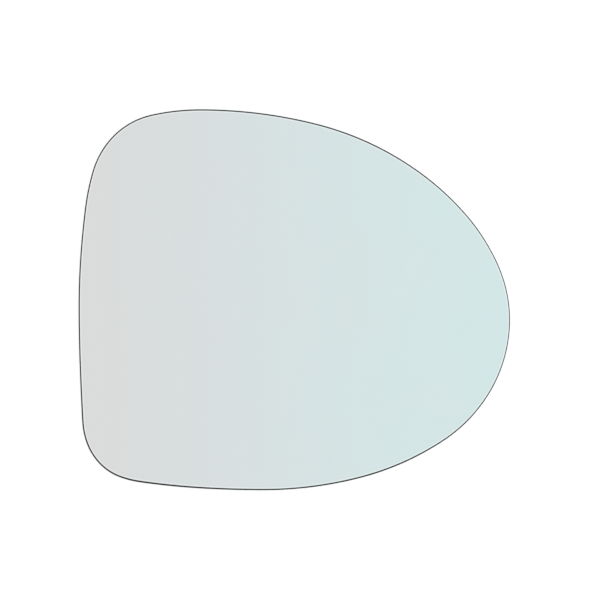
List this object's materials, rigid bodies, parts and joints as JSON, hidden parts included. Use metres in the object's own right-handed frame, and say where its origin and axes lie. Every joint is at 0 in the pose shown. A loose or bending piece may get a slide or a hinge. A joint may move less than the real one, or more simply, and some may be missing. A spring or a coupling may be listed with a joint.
{
  "type": "car door mirror glass",
  "caption": "D-shaped convex silvered glass pane for a car's door mirror, with a ground and seamed rim, lying face up on its rim.",
  "frame": {"origin": "middle of the glass's width and height, on the surface that its rim rests on", "axes": "+Z out of the convex reflecting face, +X to the round tip of the outline, +Y up in the door"},
  "size_m": [0.15, 0.1324, 0.0046],
  "materials": {
    "mirror": "polished silver face, satin ground rim, matt grey protective paint on the back"
  },
  "bodies": {
    "root": {"mirror_glass": "mirror"}
  },
  "joints": []
}
